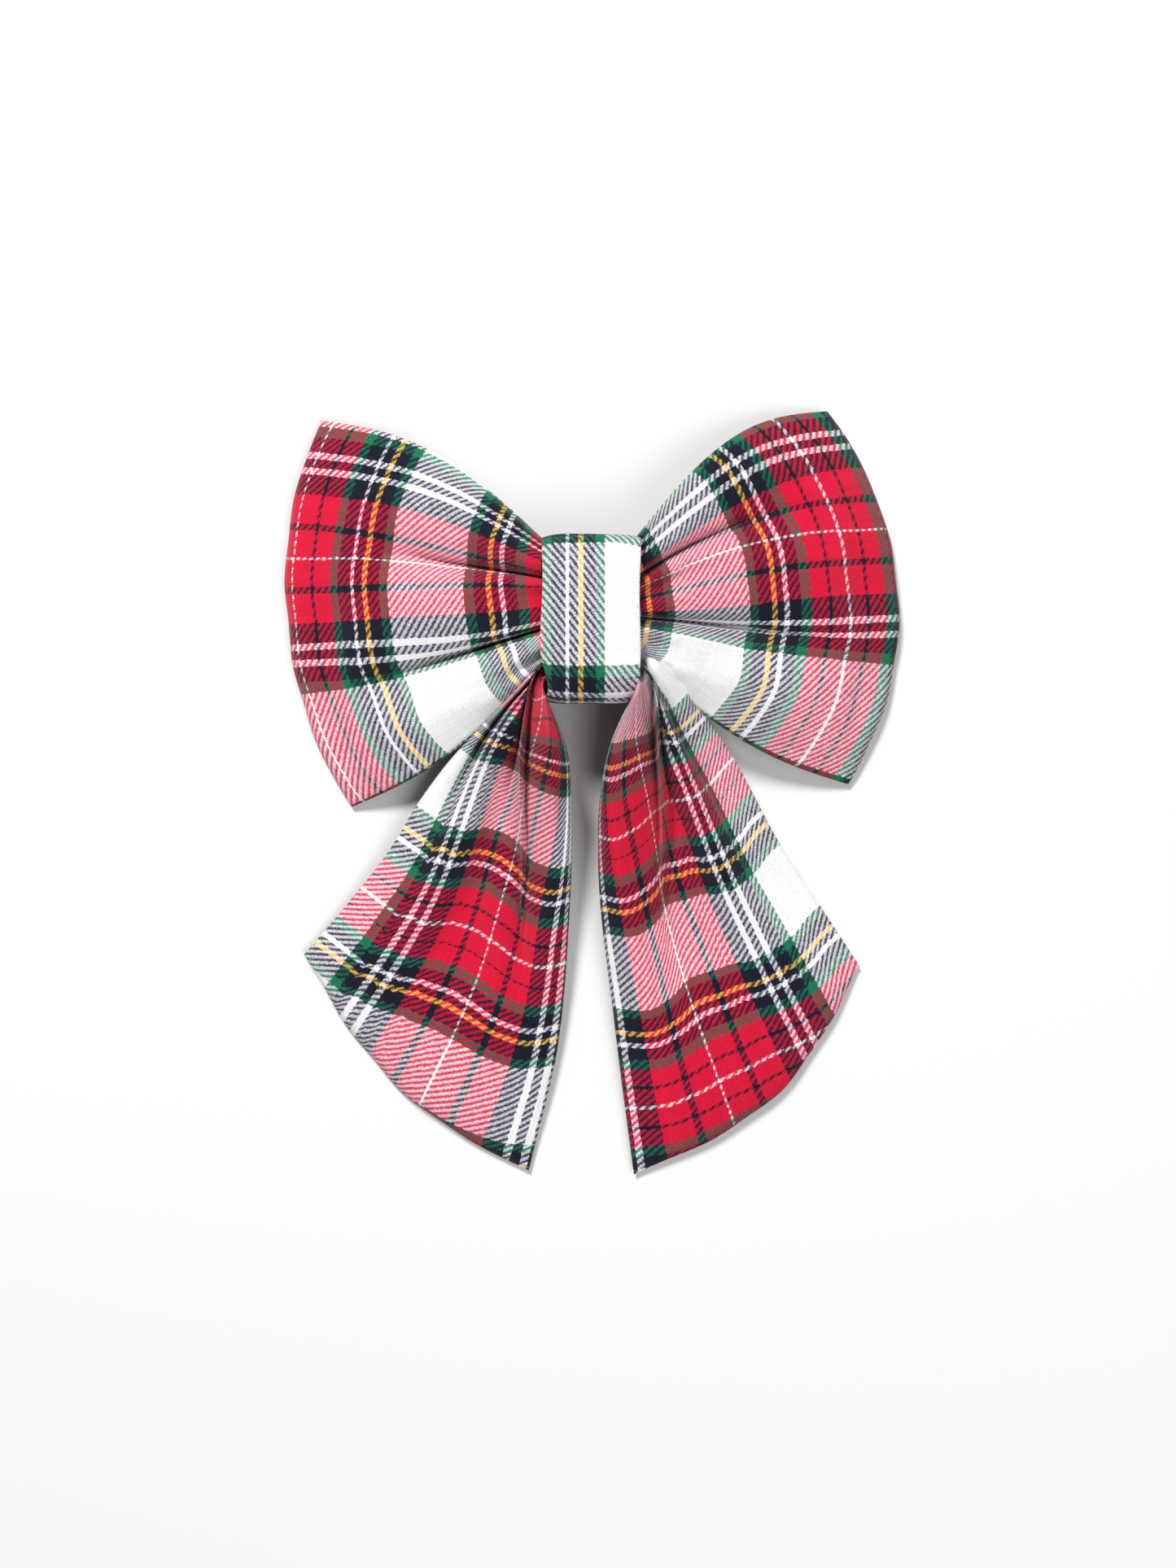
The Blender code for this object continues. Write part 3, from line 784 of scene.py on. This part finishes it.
def build_band(finish, turns=200, section=48):
    """A folded strip wrapped round the waist: a soft flat section swept round a squarish hoop."""
    angle = np.linspace(0, 2 * math.pi, turns, endpoint=False)[:, None] - math.pi / 2
    across = np.linspace(0, 2 * math.pi, section, endpoint=False)[None, :]

    def squared(value, power):
        return np.sign(value) * np.abs(value) ** power

    up, out = squared(np.cos(angle), 2 / BAND_SQUARENESS), squared(np.sin(angle), 2 / BAND_SQUARENESS)
    wide, thick = squared(np.cos(across), 0.32), squared(np.sin(across), 0.6)
    puff = 0.6 * np.clip(thick, 0, 1) * (1 - wide**4)
    puff = puff + 0.25 * ripples(40 * angle, 20 * wide, 9, 3.0) * np.clip(thick, 0, 1)
    depth = BAND_WALL * (0.5 - 0.5 * thick) - puff
    y = BAND_Y + (BAND_HALF_Y - depth) * up
    z = KNOT_Z + (BAND_HALF_Z - depth) * out
    # on its face the band narrows towards the tails
    lean = 2.2 * ease(-y, 9, 22) * np.clip(out, 0, 1)
    left_edge = -BAND_X + lean + 0.35 * np.sin(y / 6.0)
    right_edge = BAND_X - 0.5 * ease(-y, 4, 20) - 0.3 * np.sin(y / 7.0 + 1.0)
    x = mix(left_edge, right_edge, 0.5 + 0.5 * wide)

    index = np.arange(turns * section).reshape(turns, section)
    after = np.roll(index, -1, axis=0)
    corners = (index, after, np.roll(after, -1, axis=1), np.roll(index, -1, axis=1))
    faces = np.stack([k.ravel() for k in corners], axis=1)

    # cloth places: distance round the hoop from the middle of its face, which lies half-way along the rows
    middle_y, middle_z = y[:, section // 4], z[:, section // 4]
    steps = np.hypot(np.diff(middle_y, append=middle_y[:1]), np.diff(middle_z, append=middle_z[:1]))
    places = np.concatenate(([0], np.cumsum(steps)))
    places = BAND_WEFT_MIDDLE + (places - places[turns // 2])
    around = np.stack((places[:-1], places[1:], places[1:], places[:-1]), axis=-1)[:, None, :]
    around = np.broadcast_to(around, (turns, section, 4)).reshape(-1, 4)
    over = (BAND_WARP_LEFT + x + BAND_X).ravel()[faces]
    mesh = cloth_mesh("band_cover", np.stack((x, y, z), -1), faces, np.stack((over, around), axis=-1))
    return add("band_cover", mesh, finish)


# ---------------------------------------------------------------- materials


class Nodes:
    """Short names for building a node tree."""

    def __init__(self, material):
        self.tree = material.node_tree
        self.shader = self.tree.nodes["Principled BSDF"]

    def make(self, kind, inputs=None, **settings):
        node = self.tree.nodes.new(kind)
        for key, value in settings.items():
            setattr(node, key, value)
        for key, value in (inputs or {}).items():
            self.put(node.inputs[key], value)
        return node

    def put(self, socket, value):
        if isinstance(value, bpy.types.NodeSocket):
            self.tree.links.new(value, socket)
        else:
            socket.default_value = value

    def look(self, inputs):
        """Sets or links the shader's own sockets."""
        for key, value in inputs.items():
            self.put(self.shader.inputs[key], value)

    def math(self, operation, *values):
        return self.make("ShaderNodeMath", dict(enumerate(values)), operation=operation).outputs[0]

    def remap(self, value, old, new=(0.0, 1.0), **settings):
        ranges = dict(zip(("From Min", "From Max", "To Min", "To Max"), (*old, *new)))
        return self.make("ShaderNodeMapRange", {"Value": value, **ranges}, **settings).outputs[0]

    def noise(self, vector, scale, detail, roughness=0.5):
        inputs = {"Vector": vector, "Scale": scale, "Detail": detail, "Roughness": roughness}
        return self.make("ShaderNodeTexNoise", inputs).outputs

    def differing(self, key):
        """A fixed random value for each key."""
        return self.make("ShaderNodeTexWhiteNoise", {"W": key}, noise_dimensions="1D").outputs["Value"]

    def ramp(self, value, *points):
        """A colour ramp between two points, each a (place, colour)."""
        node = self.make("ShaderNodeValToRGB", {"Fac": value})
        for element, (place, colour) in zip(node.color_ramp.elements, points):
            element.position, element.color = place, (*colour, 1)
        return node.outputs["Color"]

    def bump(self, strength, distance, height):
        inputs = {"Strength": strength, "Distance": distance, "Height": height}
        return self.make("ShaderNodeBump", inputs).outputs["Normal"]

    def blend_value(self, share, a, b):
        return self.make("ShaderNodeMix", {0: share, 2: a, 3: b}, data_type="FLOAT").outputs[0]

    def blend(self, share, a, b, how="MIX"):
        """A mix of two colours."""
        node = self.make("ShaderNodeMix", data_type="RGBA", blend_type=how)
        for socket, value in zip([s for s in node.inputs if s.enabled], (share, a, b)):
            self.put(socket, value)
        return next(s for s in node.outputs if s.enabled)


def new_material(name):
    made = bpy.data.materials.new(name)
    made.use_nodes = True
    return made, Nodes(made)


def stripes(n, place, half, table):
    """The yarn colour at a place across a mirrored stripe pattern."""
    folded = n.math("DIVIDE", n.math("PINGPONG", place, half), half)
    ramp = n.make("ShaderNodeValToRGB", {"Fac": folded})
    ramp.color_ramp.interpolation = "CONSTANT"
    points = ramp.color_ramp.elements
    points[0].position, points[0].color = 0.0, (*YARNS[table[0][1]], 1)
    points[1].position, points[1].color = table[1][0] / half, (*YARNS[table[1][1]], 1)
    for start, yarn in table[2:]:
        point = points.new(start / half)
        point.color = (*YARNS[yarn], 1)
    return ramp.outputs["Color"]


def yarn_hump(n, across, run):
    """How high a yarn stands: round across its width, and highest in the middle of its float."""
    arch = n.math("SINE", n.math("MULTIPLY", run, math.pi))
    round_top = n.math("SINE", n.math("MULTIPLY", across, math.pi))
    return n.math("MULTIPLY", round_top, n.math("ADD", 0.45, n.math("MULTIPLY", 0.55, arch)))


def flannel(name, lean):
    """Brushed 2/2 twill flannel woven from dyed yarns. lean is 1 or -1, the way its diagonal runs."""
    made, n = new_material(name)
    uv = n.make("ShaderNodeUVMap", uv_map="weave").outputs["UV"]

    # no yarn is quite straight
    drift = n.noise(uv, 1.6, 3.0, 0.7)["Color"]
    drift = n.make("ShaderNodeVectorMath", {0: drift, 1: (0.5, 0.5, 0.5)}, operation="SUBTRACT")
    drift = n.make("ShaderNodeVectorMath", {0: drift.outputs[0], "Scale": 1.3}, operation="SCALE")
    moved = n.make("ShaderNodeVectorMath", {0: uv, 1: drift.outputs[0]}, operation="ADD")
    axes = n.make("ShaderNodeSeparateXYZ", {"Vector": moved.outputs[0]})
    warp_at = n.math("DIVIDE", axes.outputs["X"], WARP_PITCH)
    weft_at = n.math("DIVIDE", axes.outputs["Y"], WEFT_PITCH)
    i, j = n.math("FLOOR", warp_at), n.math("FLOOR", weft_at)
    warp = stripes(n, n.math("MULTIPLY", i, WARP_PITCH), WARP_HALF, WARP_STRIPES)
    weft = stripes(n, n.math("MULTIPLY", j, WEFT_PITCH), WEFT_HALF, WEFT_STRIPES)

    # place: 0 to 4 over the twill's repeat. Brushing softens the yarns' steps into a wavy diagonal.
    stepped = n.math("ADD", i, n.math("MULTIPLY", j, float(lean)))
    diagonal = n.math("ADD", warp_at, n.math("MULTIPLY", weft_at, float(lean)))
    diagonal = n.math("SUBTRACT", diagonal, 0.5 + 0.5 * lean)
    place = n.math("FLOORED_MODULO", n.blend_value(0.55, stepped, diagonal), 4.0)
    side_of = n.math("SUBTRACT", n.math("PINGPONG", n.math("ADD", place, 1.0), 2.0), 1.0)
    warp_up = n.remap(side_of, (-0.3, 0.3), interpolation_type="SMOOTHSTEP")
    colour = n.blend(warp_up, weft, warp)

    # each yarn stands up in the middle of its float
    u, w = n.math("FRACT", warp_at), n.math("FRACT", weft_at)
    along_warp = w if lean > 0 else n.math("SUBTRACT", 1.0, w)
    run_warp = n.math("MULTIPLY", n.math("ADD", place, along_warp), 0.5)
    run_weft = n.math("MULTIPLY", n.math("ADD", n.math("SUBTRACT", place, 2.0), u), 0.5)
    height = n.math(
        "ADD",
        n.math("MULTIPLY", warp_up, yarn_hump(n, u, run_warp)),
        n.math("MULTIPLY", n.math("SUBTRACT", 1.0, warp_up), yarn_hump(n, w, run_weft)),
    )

    # yarns differ a little from one another, fibres lie over them as a soft nap, and painted shade darkens
    # the grooves between yarns
    ends = n.differing(n.math("ADD", n.math("MULTIPLY", i, 0.731), n.math("MULTIPLY", warp_up, 57.0)))
    picks = n.differing(n.math("MULTIPLY", j, 0.417))
    uneven = n.math("ADD", 0.9, n.math("MULTIPLY", 0.1, n.math("ADD", ends, picks)))
    nap = n.noise(uv, 3.2, 4.0, 0.75)["Fac"]
    fibre = n.remap(nap, (0.3, 0.7), (0.72, 1.14))
    # painted shade: the colour is darkened where a yarn dips into the groove beside its neighbours
    groove_shade = n.remap(height, (0.0, 0.6), (0.74, 1.0))
    light = n.math("MULTIPLY", n.math("MULTIPLY", uneven, fibre), groove_shade)
    tone = n.make("ShaderNodeCombineColor", {"Red": light, "Green": light, "Blue": light})
    shaded = n.blend(1.0, colour, tone.outputs[0], "MULTIPLY")

    # brushed-up fibres carry some of the neighbouring yarn's colour, dark ones more than light ones
    under = n.blend(warp_up, warp, weft)
    border = n.math("SUBTRACT", 1.7, n.math("MULTIPLY", 1.3, n.math("ABSOLUTE", side_of)))
    share = n.math("MULTIPLY", n.remap(nap, (0.4, 0.6), (0.14, 0.78)), border)
    # the neighbouring colour is made a little bluer before it darkens a yarn, which tints the pink zones
    # towards magenta
    bluer_under = n.blend(1.0, under, (0.02, 0.0, 0.1, 1.0), "ADD")
    darker = n.blend(share, shaded, n.blend(1.0, shaded, bluer_under, "DARKEN"))
    warm = n.blend(1.0, under, (0.85, 0.7, 0.85, 1.0), "MULTIPLY")
    lighter = n.blend(1.0, darker, warm, "LIGHTEN")
    relief = n.math("ADD", n.math("MULTIPLY", height, 0.7), n.math("MULTIPLY", nap, 0.8))
    n.look(
        {
            "Base Color": n.blend(n.math("MULTIPLY", share, 0.17), darker, lighter),
            "Roughness": 0.95,
            "Specular IOR Level": 0.15,
            "Sheen Weight": 0.15,
            "Sheen Roughness": 0.45,
            "Normal": n.bump(0.7, 0.0002, relief),
        }
    )
    return made


def felt():
    """Dark green wool felt with lighter clumps."""
    made, n = new_material("felt")
    coords = n.make("ShaderNodeTexCoord").outputs["Object"]
    share = n.math("MULTIPLY", n.noise(coords, 2600.0, 5.0, 0.7)["Fac"], n.noise(coords, 420.0, 2.0)["Fac"])
    n.look(
        {
            "Base Color": n.ramp(share, (0.12, (0.006, 0.02, 0.014)), (0.42, (0.03, 0.085, 0.06))),
            "Roughness": 1.0,
            "Specular IOR Level": 0.1,
            "Sheen Weight": 0.3,
            "Normal": n.bump(0.8, 0.0002, share),
        }
    )
    return made


def steel():
    """Nickel-plated spring steel with fine rolling lines and handling marks."""
    made, n = new_material("nickel_steel")
    coords = n.make("ShaderNodeTexCoord").outputs["Object"]
    rolled = n.make("ShaderNodeMapping", {"Vector": coords, "Scale": (120.0, 4200.0, 2600.0)}).outputs[0]
    lines = n.noise(rolled, 1.0, 3.0)["Fac"]
    marks = n.noise(coords, 260.0, 4.0, 0.65)["Fac"]
    n.look(
        {
            "Base Color": n.ramp(marks, (0.3, (0.5, 0.49, 0.47)), (0.7, (0.72, 0.71, 0.69))),
            "Metallic": 1.0,
            "Roughness": n.remap(lines, (0.3, 0.7), (0.2, 0.36)),
            "Normal": n.bump(0.15, 0.00003, lines),
        }
    )
    return made


def glue():
    """Cloudy dried glue."""
    made, n = new_material("glue")
    coords = n.make("ShaderNodeTexCoord").outputs["Object"]
    cloud = n.noise(coords, 300.0, 3.0)["Fac"]
    n.look(
        {
            "Base Color": n.ramp(cloud, (0.0, (0.6, 0.57, 0.48)), (1.0, (0.82, 0.8, 0.72))),
            "Roughness": 0.32,
            "Normal": n.bump(0.4, 0.0002, cloud),
        }
    )
    return made


# ---------------------------------------------------------------- stage


def stage():
    """The floor, the lights and the photo's camera."""
    scene = bpy.context.scene
    scene.view_settings.view_transform = "Standard"
    world = bpy.data.worlds.new("studio")
    world.use_nodes = True
    sky = world.node_tree.nodes["Background"]
    sky.inputs["Color"].default_value = (0.93, 0.95, 1.0, 1)
    sky.inputs["Strength"].default_value = 0.22
    scene.world = world

    finish, n = new_material("pale_floor")
    n.look({"Base Color": (0.62, 0.62, 0.61, 1), "Roughness": 0.85})
    mesh = bpy.data.meshes.new("floor")
    corners = [(x * FLOOR_SPAN, y * FLOOR_SPAN, 0) for x, y in ((-1, -1), (1, -1), (1, 1), (-1, 1))]
    mesh.from_pydata(corners, [], [(0, 1, 2, 3)])
    floor = add("floor", mesh, finish)
    floor.location.z = -FLOOR_DROP

    def area(name, place, size, power):
        light = bpy.data.lights.new(name, "AREA")
        light.shape = "DISK"
        light.size = size
        light.energy = power
        made = bpy.data.objects.new(name, light)
        scene.collection.objects.link(made)
        made.location = place
        made.rotation_euler = (Vector(LIGHTS_AIM) - Vector(place)).to_track_quat("-Z", "Y").to_euler()

    area("key", (-0.42, 0.88, 0.98), 0.36, 28.5)
    area("fill", (0.6, -0.65, 1.1), 1.2, 14.0)

    camera = bpy.data.cameras.new("camera")
    camera.sensor_width = 36.0
    camera.lens = 50.0
    made = bpy.data.objects.new("camera", camera)
    scene.collection.objects.link(made)
    made.location = (EYE[0] * MM, EYE[1] * MM, (PLANE_Z + EYE_HEIGHT) * MM)
    scene.camera = made


def main():
    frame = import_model()
    stage()
    bow_cloth = flannel("flannel_bow", 1)
    band_cloth = flannel("flannel_band", -1)
    tail_cloth = flannel("flannel_tail", 1)
    metal = steel()

    weave = bow_weave(bow_grid(1))
    front, back = settled("bow_pillow", bow_grid, bow_hold)
    front = add("bow_front", sheet("bow_front", front, *weave, flip=True), bow_cloth)
    back = add("bow_back", sheet("bow_back", back, *weave), bow_cloth)
    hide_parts("bow_front_panel", "bow_fleece_filling")
    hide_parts("bow_back_panel")
    pieces = [front, back]
    for side, word in ((-1, "left"), (1, "right")):
        make = functools.partial(tail_grid, side)
        grids = settled(f"{word}_tail", make, tail_hold, True, TAIL_PUSH, TAIL_CALM)
        weave = tail_weave(side, make(1))
        for face, which, grid in zip((1, -1), ("front", "back"), grids):
            flip = (face > 0) == (side < 0)
            mesh = sheet(f"{word}_tail_{which}", grid, *weave, flip=flip)
            piece = add(f"{word}_tail_{which}", mesh, tail_cloth)
            nodes = [f"{word}_tail_{which}_panel"]
            if face > 0:
                nodes.append(f"{word}_tail_fleece_filling")
            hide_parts(*nodes)
            pieces.append(piece)
    band = build_band(band_cloth)
    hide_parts("centre_band", "band_interfacing", "waist_thread")
    pieces.append(band)
    for piece in pieces:
        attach(piece, "bow")
    finishes = {"felt_backing": felt(), "glue_bed": glue()}
    for name, node in frame["nodes"].items():
        node.data.materials.clear()
        node.data.materials.append(finishes.get(name, metal))


main()
